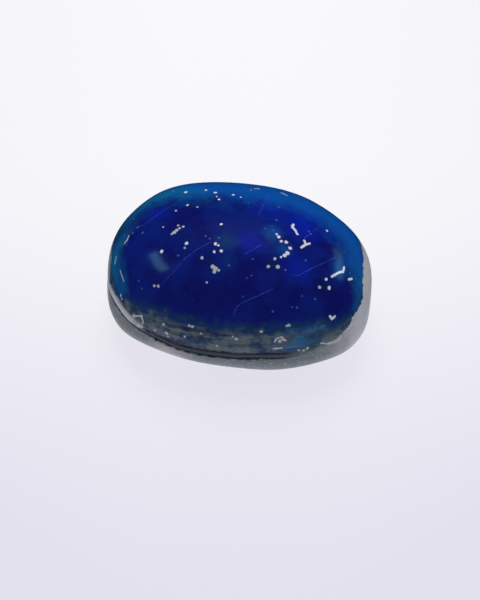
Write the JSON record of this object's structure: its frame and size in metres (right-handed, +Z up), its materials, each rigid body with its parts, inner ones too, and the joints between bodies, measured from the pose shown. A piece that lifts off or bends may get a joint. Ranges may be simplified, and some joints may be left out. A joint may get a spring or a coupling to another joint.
{
  "type": "lapis lazuli pebble",
  "caption": "Polished tumbled lapis lazuli pebble: an oval, domed stone, deep blue above a grey-green matrix band, with a rounded underside and a small flat spot to rest on.",
  "frame": {"origin": "on the small flat spot that the stone rests on, under the middle of its length and depth", "axes": "+Z up from the surface it rests on, X along the stone's length, -Y the long side with the widest matrix band, which the camera faces"},
  "size_m": [0.0302, 0.0222, 0.0163],
  "materials": {
    "lapis": "polished"
  },
  "bodies": {
    "root": {"stone": "lapis"}
  },
  "joints": []
}
